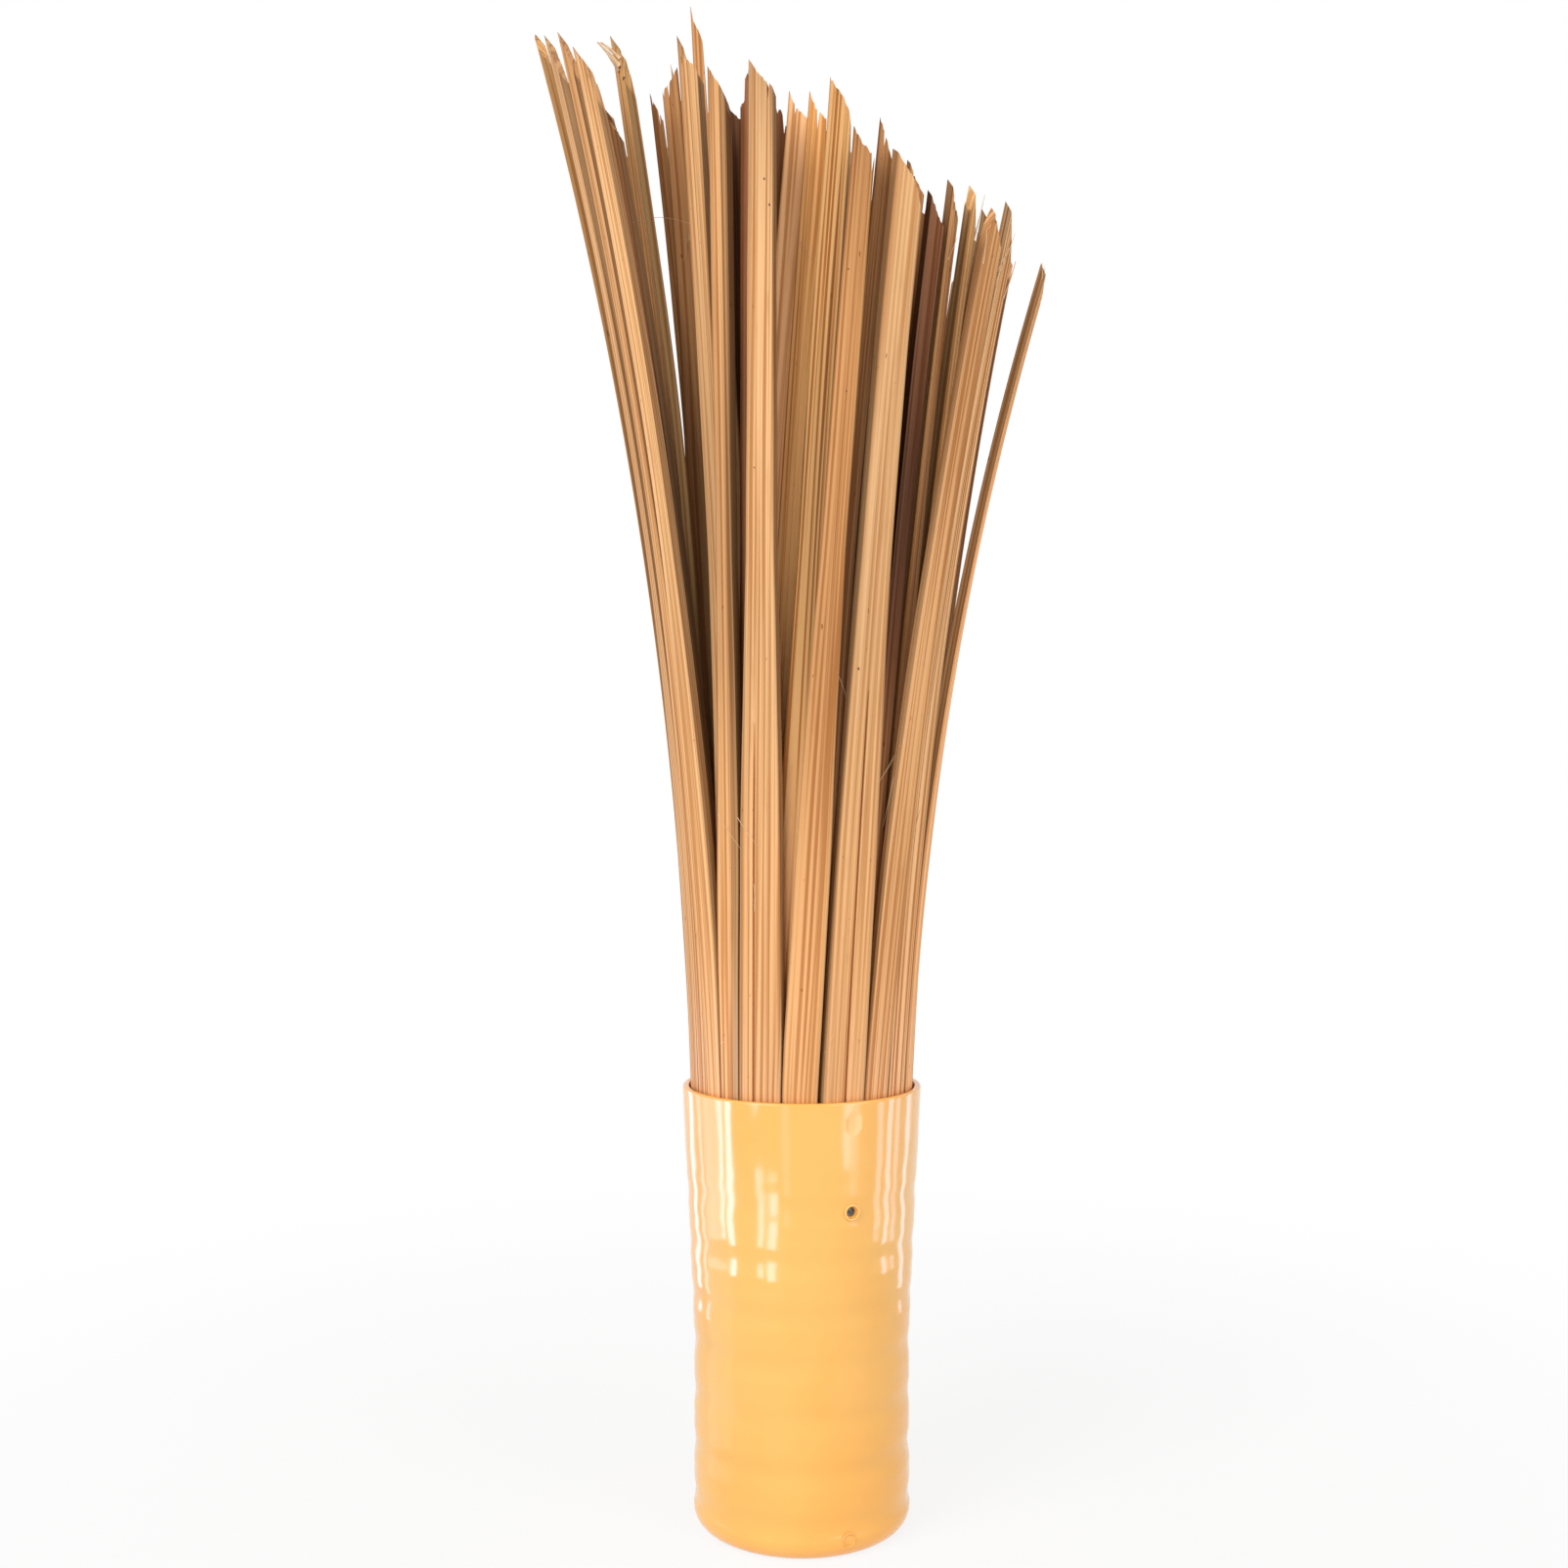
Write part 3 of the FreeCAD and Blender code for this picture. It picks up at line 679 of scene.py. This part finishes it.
class SplintShaper:
    """Shapes splints from one blank slab, with seeded chance for grain, edges and tips."""

    # From EVEN_FROM to the tip the rows lie evenly. Edges and course start to wander over FREE_OVER.
    EVEN_FROM, FREE_OVER, SWAY = 62 * MM, 0.03, 0.25 * MM
    # How far a tip slants through its thickness, and how much more at the sides.
    SLANT, SIDE_SLANT = 0.3 * MM, 1.6 * MM
    # A crack's half width, its depth as a share of the thickness, and the height over which it closes.
    HALF_CRACK, CRACK_DEPTH, CRACK_END = 0.16 * MM, 0.85, 0.012
    # Round its peak a tip is whole and lifted, over these shares of its width.
    WHOLE, LIFTED, LIFT, BELOW_TOP = 0.10, 0.35, 0.6 * MM, 0.15 * MM
    # The share of a tip's columns that are nicked, and how deep, in mm.
    NICKED, NICKS = 0.07, (0.8, 3.0)
    # Tone: the factor of the painted shade at the edges (partly the sides' own darker colour), the painted
    # light low down (its factor, share, end and fade), and where the painted shade inside the bundle is
    # deepest.
    EDGE_SHADE, PALE, PALE_SHARE, PALE_END, PALE_FADE = 0.52, 1.18, 0.7, 0.135, 0.05
    DEEP_AT, DEEP_SPREAD = 0.155, 0.045
    # Tone: how much it varies along a splint, from one to another and, at most, at a tip.
    TONE_WAVES, TONE_CHANCE, TIP_SHADE, TIP_LENGTH = 0.12, 0.06, 0.2, 0.03

    def __init__(self, settings, count=0):
        self.settings = settings
        self.blank = Blank()
        self.count = count

    def shape(self, stem, key, name, depth, other):
        """One splint: the slab laid along the stem, with ridges, wandering edges and a fibrous tip."""
        fill(stem, key)
        # A look's depth is the painted shade half-way up (negative: painted light); its gain is painted light
        # on splints in shade, partly their own tone.
        tone, grain, self.depth, self.painted_light_and_tone_gain = LOOKS.get(key, (other, 1.0, depth, 1.0))
        crack = CRACKS.get(key)
        self.count += 1
        seed = self.count
        chance = np.random.RandomState(1000 + seed)
        blank, settings = self.blank, self.settings
        columns = np.linspace(0, 1, blank.COLUMNS + 1)
        dent = np.zeros(blank.COLUMNS + 1)
        if crack:
            place = 0.5 + crack[0] / stem.mouth[1]
            middle = int(round(place * blank.COLUMNS))
            half_crack = self.HALF_CRACK / stem.mouth[1]
            columns[middle - 1:middle + 2] = (place - half_crack, place, place + half_crack)
            dent[middle] = 1.0
        ends = self.tip_heights(stem, columns, chance)
        share = columns[blank.column]
        rise = rising(blank.row, 2, blank.ROWS - 2)
        slanted = blank.outer == (stem.outward[0] > 0.3)
        slant = (self.SLANT + self.SIDE_SLANT * abs(stem.outward[0])) * slanted
        z = self.EVEN_FROM + (ends[blank.column] - slant - self.EVEN_FROM) * rise
        z[blank.row == 0] = FLOOR_TOP
        z[blank.row == 1] = GRIP_TOP
        width = stem.width(z)
        free = rising(z, HANDLE_HEIGHT, self.FREE_OVER)
        side = (share - 0.5) * width
        for direction in (-1, 1):
            extra = stem.spare.get(direction)
            if extra is not None:
                fade = np.clip(direction * (2 * share - 1), 0, 1)
                side += direction * np.interp(z, SPARE_LEVELS, extra) * fade
        right = share > 0.5
        for edge in (False, True):
            wander = settings.wander * (wavy(seed + 50 * edge, z * 55) - 0.4) * free
            side += np.where(right, 1, -1) * wander * np.abs(2 * share - 1) ** 3 * (right == edge)
        sway = self.SWAY * wavy(seed + 0.5, z * 14) * free
        thickness = stem.mouth[2]
        bulge = settings.ridge * (1 - (2 * share - 1) ** 4) * 1.5
        ridges = settings.ridge * chance.uniform(-1, 1, blank.COLUMNS + 1)[blank.column]
        ridges *= 0.7 + 0.6 * wavy(seed + 0.25, z * 20)
        out = np.where(blank.outer, thickness / 2 + bulge + ridges - 2 * settings.ridge, -thickness / 2)
        if crack:
            depth = falling(z, crack[1], self.CRACK_END) * dent[blank.column] * blank.outer
            out -= depth * self.CRACK_DEPTH * thickness
        middle = stem.middle(z)
        flat = middle + stem.across * (side + sway)[:, None] + stem.outward * out[:, None]
        places = np.column_stack([np.clip(flat, LOWEST, HIGHEST), z])
        mesh = blank.mesh.copy()
        mesh.vertices.foreach_set("co", places.ravel())
        self.lay_grain(mesh, share * width + np.where(blank.outer, 0, thickness), z, seed)
        self.set_tone(mesh, tone, grain, share, z, stem, seed, chance, PAINTED_FACET_SHADE.get(key))
        mesh.update()
        return linked(name, mesh)

    def tip_heights(self, stem, columns, chance):
        """How high each column of fibres reaches: the solid's outline, less uneven fibre ends."""
        shares, heights = zip(*stem.outline)
        peak = shares[int(np.argmax(heights))]
        if 0.03 < peak < 0.97:
            columns[int(round(peak * self.blank.COLUMNS))] = peak
        ends = np.interp(columns, shares, heights)
        near = bell(columns, peak, self.WHOLE)
        ragged = self.settings.ragged * (1 - near)
        count = len(columns)
        bundle = np.repeat(chance.uniform(0, 1, count), 2)[:count]
        ends -= ragged * (0.6 * bundle + 0.6 * chance.uniform(0, 1, count) ** 2)
        nicks = chance.uniform(0, 1, count) < self.NICKED
        ends -= np.where(nicks, chance.uniform(*self.NICKS, count) * MM, 0) * (1 - near)
        ends += self.LIFT * bell(columns, peak, self.LIFTED)
        return np.minimum(ends, TOP - self.BELOW_TOP)

    def lay_grain(self, mesh, across, along, seed):
        """A UV map in millimetres, across and along the fibres, shifted for each splint."""
        places = np.column_stack([across / MM + 37.3 * seed, along / MM + 811.7 * seed])
        layer = mesh.uv_layers.get("grain") or mesh.uv_layers.new(name="grain")
        layer.data.foreach_set("uv", places[self.blank.corners].astype(np.float32).ravel())

    def set_tone(self, mesh, tone, grain, share, z, stem, seed, chance, facet_shade):
        """The splint's colour: uneven along it, darker at its edges (painted shade between splints, partly the
        sides' own darker colour), paler low down (painted light), darker deep inside (painted shade), and
        scaled by its gain (painted light, partly its own tone).
        """
        layer = mesh.color_attributes.get("tone") or mesh.color_attributes.new("tone", "FLOAT_COLOR", "POINT")
        own = np.array(getattr(self.settings, tone))
        # Painted light: low down each splint turns towards a paler tan, more so for splints that lie in shade.
        pale = np.array(self.settings.tan) * (self.PALE + self.depth)
        low = falling(z, self.PALE_END, self.PALE_FADE)[:, None] * self.PALE_SHARE
        waves = wavy(seed + 0.75, z * 18)
        change = 1 + self.TONE_WAVES * waves + chance.uniform(-self.TONE_CHANCE, self.TONE_CHANCE)
        tip = np.clip(1 - (stem.top - z) / self.TIP_LENGTH, 0, 1) * chance.uniform(0, self.TIP_SHADE)
        # Painted shade: darker about half-way up by the look's depth, for splints inside the bundle; a
        # negative depth paints light there.
        deep = self.depth * bell(z, self.DEEP_AT, self.DEEP_SPREAD)
        # Painted shade at both edges, partly the fibrous sides' own darker colour; the gain paints light on
        # splints in shade, partly their own tone.
        change *= self.painted_light_and_tone_gain * np.where((share < 0.01) | (share > 0.99), self.EDGE_SHADE, 1.0)
        # Painted shade on a facet turned from the light.
        if facet_shade:
            low_share, high_share, factor = facet_shade
            change *= np.where((share >= low_share) & (share <= high_share), factor, 1.0)
        colours = (own * (1 - low) + pale * low) * (change * (1 - tip) * (1 - deep))[:, None]
        colours = np.column_stack([colours, np.full(len(z), grain)])
        layer.data.foreach_set("color", colours.astype(np.float32).ravel())


# The heights at which it is set how far a splint swells to each side.
SPARE_LEVELS = np.linspace(0.069, 0.235, 36)
# Up to where the rings' splints swell, over how much height that fades, and how far they swell at most.
CLOSED_END, CLOSED_FADE, CLOSED_MOST = 0.150, 0.045, 0.7 * MM
# The side that swells, by how much in mm, about which height and how far along.
FILLED = {
    "second_splint_01": (1, 2.6, 0.168, 0.042), "inner_row_04 1": (-1, 1.1, 0.158, 0.034),
    "inner_row_02 1": (1, 1.0, 0.200, 0.020), "inner_row_01 1": (1, 0.9, 0.200, 0.020),
}


def close_gaps(stems):
    """Lets the splints of a ring swell a little towards each other where they start to part."""
    fade = falling(SPARE_LEVELS, CLOSED_END, CLOSED_FADE)
    for place, stem in enumerate(stems):
        for side in (-1, 1):
            neighbour = stems[(place + side) % len(stems)]
            gap = stem.gap(SPARE_LEVELS, side, neighbour)
            stem.spare[side] = np.clip(gap / 2, 0, CLOSED_MOST) * fade


def fill(stem, name):
    """Swells one side of a splint where the photo shows the bundle closed."""
    if name in FILLED:
        side, extra, height, spread = FILLED[name]
        swell = extra * MM * bell(SPARE_LEVELS, height, spread)
        stem.spare[side] = np.maximum(stem.spare.get(side, 0), swell)


def splint_nodes(prefix):
    return sorted(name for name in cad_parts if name.startswith(prefix))


class BRUSH_OT_ring_splints(bpy.types.Operator):
    """Shapes the splints of the outer and the second ring"""
    bl_idname = "brush.ring_splints"
    bl_label = "Ring splints"

    def execute(self, context):
        shaper = SplintShaper(context.scene.brush_bamboo)
        material = bamboo_material()
        chance = random.Random(5)
        # Each ring's painted shade half-way up, for splints without a look of their own: none on the outer
        # ring, some on the second ring.
        for ring, depth in (("outer", 0.0), ("second", 0.3)):
            stems = {node: stems_of(node)[0] for node in splint_nodes(ring)}
            close_gaps(list(stems.values()))
            for node, stem in stems.items():
                other = chance.choice(["tan", "light", "honey", "pink", "green", "brown"])
                splint = shaper.shape(stem, node, "bamboo_" + node, depth, other)
                smoothed(splint, 35)
                finished(splint, material, "bamboo", node)
        return {"FINISHED"}


class BRUSH_OT_inner_splints(bpy.types.Operator):
    """Shapes the splints in the middle of the bundle, row by row"""
    bl_idname = "brush.inner_splints"
    bl_label = "Inner splints"

    def execute(self, context):
        shaper = SplintShaper(context.scene.brush_bamboo, 100)
        material = bpy.data.materials["split_bamboo"]
        chance = random.Random(8)
        for node in splint_nodes("inner"):
            splints = []
            for place, stem in enumerate(stems_of(node)):
                # The inner rows draw more from the darker tones: partly their own colour, partly painted shade
                # inside the bundle.
                other = chance.choice(["tan", "brown", "red", "brown", "dark", "pink"])
                # Inner splints without a look of their own get the most painted shade half-way up.
                splints.append(shaper.shape(stem, "%s %d" % (node, place + 1), "splint", 0.65, other))
            row = joined(splints, "bamboo_" + node)
            smoothed(row, 35)
            finished(row, material, "bamboo", node)
        return {"FINISHED"}


# Loose fibres and specks

# Each fibre by its points as the camera sees them against the upright plane through the axis, then
# how far its free end lifts off, and its radius at the root, all in mm.
FIBRES = (
    (((16.4, 124.2), (14.6, 120.6), (12.5, 117.2)), 0.6, 0.07),
    (((16.3, 123.5), (14.7, 118.3), (12.9, 109.7)), 0.8, 0.07),
    (((15.6, 122.6), (14.1, 119.2), (12.2, 116.7)), 0.4, 0.05),
    (((-10.2, 111.1), (-8.7, 108.6), (-6.8, 106.5)), 0.7, 0.06),
    (((-13.3, 111.7), (-11.8, 109.0), (-9.5, 105.9)), 0.6, 0.05),
    (((5.6, 134.1), (6.5, 132.2), (7.1, 130.0)), 0.5, 0.05),
    (((-0.3, 202.4), (0.9, 200.7), (1.9, 198.7)), 0.6, 0.06),
    (((-26.7, 205.4), (-24.2, 206.3), (-20.5, 206.0), (-17.4, 204.8)), 1.2, 0.04),
    (((-12.3, 75.5), (-15.2, 74.5), (-17.4, 73.5)), 0.5, 0.05),
    (((-7.6, 100.6), (-7.3, 98.4), (-7.6, 95.9)), 0.4, 0.08),
    (((18.8, 112.4), (18.0, 109.7), (17.5, 107.1)), 0.4, 0.05),
    (((3.7, 73.8), (4.3, 75.2), (5.0, 76.7)), 0.4, 0.05),
    (((-18.6, 202.9), (-17.7, 201.1), (-18.8, 199.2)), 0.5, 0.05),
    (((-18.3, 202.0), (-17.4, 202.6), (-18.0, 203.4)), 0.6, 0.06),
    (((31.9, 193.3), (33.2, 196.4), (33.9, 199.2)), 0.3, 0.14),
    (((31.9, 198.6), (33.2, 201.7), (33.8, 203.7)), 0.4, 0.07),
    (((30.5, 196.7), (31.8, 199.2), (33.2, 201.8)), 0.5, 0.09),
    (((29.9, 193.5), (31.0, 196.6), (32.1, 199.2)), 0.4, 0.07),
    (((38.0, 193.6), (38.2, 196.7), (38.1, 199.0)), 0.3, 0.1),
    (((38.0, 193.2), (38.6, 196.4), (38.5, 198.4)), 0.3, 0.08),
    (((27.3, 202.6), (28.4, 206.9), (29.0, 209.7)), 0.5, 0.12),
    (((28.8, 198.9), (29.3, 202.3), (29.4, 204.5)), 0.3, 0.08),
    (((23.2, 199.5), (24.2, 201.7), (24.6, 202.9)), 0.5, 0.08),
    (((-28.8, 230.2), (-30.7, 232.4), (-32.3, 233.8)), 0.6, 0.4),
    (((-28.8, 231.4), (-30.4, 233.1), (-31.8, 233.8)), 0.5, 0.34),
    (((-29.0, 229.6), (-30.2, 231.4), (-31.3, 232.8)), 0.5, 0.3),
)
# Each speck by its place, seen the same way, and its radius, in mm.
SPECKS = (
    (-5.9, 212.4, 0.16), (-5.1, 208.3, 0.16), (9.0, 134.7, 0.18), (-28.9, 229.5, 0.26),
    (-28.2, 228.3, 0.24), (7.4, 198.1, 0.12), (7.1, 178.7, 0.12), (-7.5, 166.6, 0.12),
)


class BRUSH_OT_fibres(bpy.types.Operator):
    """Lays the loose fibres, the barb and the dark specks on the splints in front"""
    bl_idname = "brush.fibres"
    bl_label = "Loose fibres"

    # How far a fibre's root lies off the splint, in mm, and the free end's radius as a share of the root's.
    ROOT_OFF, TAPER = 0.03, 0.35
    # A speck's shape: its sizes across, towards the camera and upright, as shares of its radius.
    SPECK_SHAPE = (0.8, 0.35, 1.3)
    FIBRE_TONE, SPECK_TONE, GRAIN = (0.74, 0.52, 0.31), (0.10, 0.05, 0.03), 0.2

    def execute(self, context):
        tubes = []
        for points, lift, thick in FIBRES:
            last = len(points) - 1
            path = []
            for place, (x, z) in enumerate(points):
                found = self.touch(x, z, path[-1] if path else None)
                off = (self.ROOT_OFF + lift * (place / last) ** 2) * MM
                path.append(Vector((found.x, found.y - off, found.z)))
            tubes.append(self.tube(path, thick * MM))
        deselect()
        fibres = joined(tubes, "loose_fibres")
        self.paint(fibres, self.FIBRE_TONE)
        finished(fibres, bpy.data.materials["split_bamboo"], "bamboo")
        specks = []
        for x, z, size in SPECKS:
            found = self.touch(x, z)
            bpy.ops.mesh.primitive_uv_sphere_add(segments=16, ring_count=10, radius=size * MM, location=found)
            mode("EDIT")
            bpy.ops.transform.resize(value=self.SPECK_SHAPE)
            mode("OBJECT")
            bpy.ops.object.transform_apply(location=True, rotation=True, scale=True)
            specks.append(bpy.context.object)
        specks = joined(specks, "dark_specks")
        self.paint(specks, self.SPECK_TONE)
        finished(specks, bpy.data.materials["split_bamboo"], "bamboo")
        return {"FINISHED"}

    def touch(self, x, z, before=None):
        """The surface that the camera sees at a place, or where it sees none, a point as deep as the last."""
        eye = camera_place(bpy.context.scene.brush_stage)
        sight = Vector((x * MM, 0, z * MM)) - eye
        bpy.context.view_layer.update()
        seen = bpy.context.evaluated_depsgraph_get()
        hit, found, *_ = bpy.context.scene.ray_cast(seen, eye, sight.normalized())
        if hit:
            return found
        if before is None:
            raise RuntimeError("a fibre or a speck at %s, %s has nothing to lie on" % (x, z))
        return eye + sight * (before.y - eye.y) / sight.y

    def tube(self, path, thick):
        """A thin tapering tube along a smooth path."""
        curve = bpy.data.curves.new("fibre", "CURVE")
        curve.dimensions = "3D"
        curve.bevel_depth = thick
        curve.bevel_resolution = 2
        line = curve.splines.new("NURBS")
        line.points.add(len(path) - 1)
        for place, (point, where) in enumerate(zip(line.points, path)):
            point.co = (*where, 1)
            point.radius = 1 - (1 - self.TAPER) * place / (len(path) - 1)
        line.order_u = 3
        line.use_endpoint_u = True
        line.resolution_u = 12
        activate(linked("fibre", curve))
        bpy.ops.object.convert(target="MESH")
        return bpy.context.object

    def paint(self, obj, tone):
        """Gives a piece one tone and the layers that the bamboo's material reads."""
        layer = obj.data.color_attributes.new("tone", "FLOAT_COLOR", "POINT")
        layer.data.foreach_set("color", np.tile((*tone, self.GRAIN), len(obj.data.vertices)))
        if "grain" not in obj.data.uv_layers:
            obj.data.uv_layers.new(name="grain")


# Stage

class BRUSH_OT_stage(bpy.types.Operator):
    """Sets the floor, the soft lights and the camera"""
    bl_idname = "brush.stage"
    bl_label = "Stage"

    # Each soft light's name, place, width and height in metres, and power in watts.
    LIGHTS = (("key", (-0.70, -0.85, 0.75), 0.7, 0.7, 10.4), ("fill", (0.80, -0.75, 0.45), 0.7, 0.7, 4.3))
    AIM = (0, 0, 0.11)
    # Each streak on the handle: how far from its middle it is seen, its width, its lower and upper end,
    # in mm, and its strength.
    STRIPS = (
        (-17.0, 0.6, 36, 80, 4), (-15.7, 0.4, 34, 80, 4), (-12.6, 0.7, 46, 80, 8), (-11.2, 1.1, 42, 80, 13),
        (-7.0, 0.9, 66, 80, 6), (-6.6, 1.0, 43, 56, 8), (-4.8, 1.3, 41, 53, 9), (-2.6, 1.2, 50, 80, 1.6),
        (6.8, 1.4, 56, 80, 5), (8.0, 0.8, 50, 80, 3), (11.6, 0.8, 46, 70, 5), (13.2, 0.7, 42, 80, 7),
        (14.4, 0.5, 43, 72, 4), (16.1, 0.6, 36, 80, 4), (-13.8, 4.5, 6, 78, 0.6), (-13.7, 2.8, 44, 80, 2.5),
    )
    # The wall's radius that the strips are worked out for, and how far they hang off it.
    WALL_RADIUS, REACH, STRIP_COLOUR = 0.0185, 0.03, (0.62, 0.70, 1.0)
    # The floor whitens between two distances from the axis, from one share to another.
    WHITENING = (0.05, 0.26, 0.85, 1.0)
    ROOM_STRENGTH = 0.45

    def execute(self, context):
        settings = context.scene.brush_stage
        self.make_floor(settings)
        self.make_world()
        for light in self.LIGHTS:
            self.make_light(*light, self.AIM)
        for number, strip in enumerate(self.STRIPS):
            self.make_strip(settings, "strip_%d" % (number + 1), *strip)
        self.make_camera(settings)
        context.scene.view_settings.view_transform = "Standard"
        return {"FINISHED"}

    def make_floor(self, settings):
        deselect()
        bpy.ops.mesh.primitive_plane_add(size=6, location=(0, 0, 0))
        floor = bpy.context.object
        floor.name = "floor"
        paint = Paint("pale_floor")
        seen = self.background_ray(paint)
        place = paint.node("TexCoord", {}, out=3)
        far = paint.node("VectorMath", {"operation": "LENGTH"}, place, out=1)
        far = paint.node("MapRange", {"interpolation_type": "SMOOTHSTEP"}, far, *self.WHITENING)
        matt = paint.node("BsdfDiffuse", {}, Color=(*settings.floor, 1))
        white = paint.node("Emission", {}, Color=(1, 1, 1, 1), Strength=1.0)
        both = paint.node("MixShader", {}, seen * far, matt, white)
        paint.node("OutputMaterial", {}, both)
        floor.data.materials.append(paint.material)

    def background_ray(self, paint):
        """1 for the rays that see the background: from the camera, off gloss and through glass."""
        camera, glossy, through = (paint.node("LightPath", {}, out=place) for place in (0, 3, 6))
        return camera.math("MAXIMUM", camera.math("MAXIMUM", camera, glossy), through)

    def make_world(self):
        world = bpy.data.worlds.new("soft_room")
        bpy.context.scene.world = world
        world.use_nodes = True
        paint = Paint("soft_room", world.node_tree)
        seen = self.background_ray(paint)
        strength = paint.node("MapRange", {}, seen, 0.0, 1.0, self.ROOM_STRENGTH, 1.0)
        room = paint.node("Background", {}, Color=(1, 1, 1, 1), Strength=strength)
        paint.node("OutputWorld", {}, room)

    def make_strip(self, settings, name, across, wide, low, high, strength):
        """An upright light that only shows as a streak on the glossy wall, where the camera sees it."""
        radius, reach = self.WALL_RADIUS, self.REACH
        side = math.asin(across * MM / radius)
        normal = Vector((math.sin(side), -math.cos(side), 0))
        wall = normal * radius
        eye = camera_place(settings)
        eye.z = 0
        distance = (wall - eye).length
        away = (wall - eye).normalized().reflect(normal)
        ends = [z * MM - reach * (settings.camera_height - z * MM) / distance for z in (low, high)]
        place = wall + away * reach + Vector((0, 0, sum(ends) / 2))
        width = wide * MM * (1 + 2 * reach / (radius * math.cos(side)))
        height = ends[1] - ends[0]
        target = wall + Vector((0, 0, sum(ends) / 2))
        light = self.make_light(name, place, width, height, strength * math.pi * width * height, target)
        light.data.color = self.STRIP_COLOUR
        light.visible_diffuse = False

    def make_light(self, name, place, width, height, power, target):
        lamp = bpy.data.lights.new(name, "AREA")
        lamp.shape = "RECTANGLE"
        lamp.size, lamp.size_y = width, height
        lamp.energy = power
        light = linked(name, lamp)
        light.location = place
        light.rotation_euler = (Vector(place) - Vector(target)).to_track_quat("Z", "Y").to_euler()
        light.visible_camera = False
        return light

    def make_camera(self, settings):
        lens = bpy.data.cameras.new("camera")
        lens.lens = settings.lens
        lens.sensor_width = 36
        lens.sensor_fit = "HORIZONTAL"
        lens.clip_start = 0.01
        camera = linked("camera", lens)
        camera.location = camera_place(settings)
        camera.rotation_euler = (math.pi / 2, 0, 0)
        bpy.context.scene.camera = camera


class BRUSH_PT_panel(bpy.types.Panel):
    """Lists the brush's pieces and settings"""
    bl_idname = "BRUSH_PT_panel"
    bl_label = "Bamboo wok brush"
    bl_space_type = "VIEW_3D"
    bl_region_type = "UI"
    bl_category = "Brush"

    def draw(self, context):
        for settings in (context.scene.brush_handle, context.scene.brush_bamboo, context.scene.brush_stage):
            box = self.layout.box()
            for name in settings.__annotations__:
                box.prop(settings, name)
        for step in STEPS:
            self.layout.operator(step.bl_idname)


STEPS = (BRUSH_OT_handle, BRUSH_OT_nail, BRUSH_OT_ring_splints, BRUSH_OT_inner_splints, BRUSH_OT_fibres,
         BRUSH_OT_stage)
SETTINGS = {"brush_handle": HandleSettings, "brush_bamboo": BambooSettings, "brush_stage": StageSettings}


def register():
    for entry in (*SETTINGS.values(), *STEPS, BRUSH_PT_panel):
        bpy.utils.register_class(entry)
    for name, group in SETTINGS.items():
        setattr(bpy.types.Scene, name, bpy.props.PointerProperty(type=group))


def unregister():
    for name in SETTINGS:
        delattr(bpy.types.Scene, name)
    for entry in (BRUSH_PT_panel, *reversed(STEPS), *SETTINGS.values()):
        bpy.utils.unregister_class(entry)


def main():
    register()
    bpy.ops.brush.handle()
    bpy.ops.brush.nail()
    bpy.ops.brush.ring_splints()
    bpy.ops.brush.inner_splints()
    bpy.ops.brush.fibres()
    bpy.ops.brush.stage()


if __name__ == "__main__":
    main()
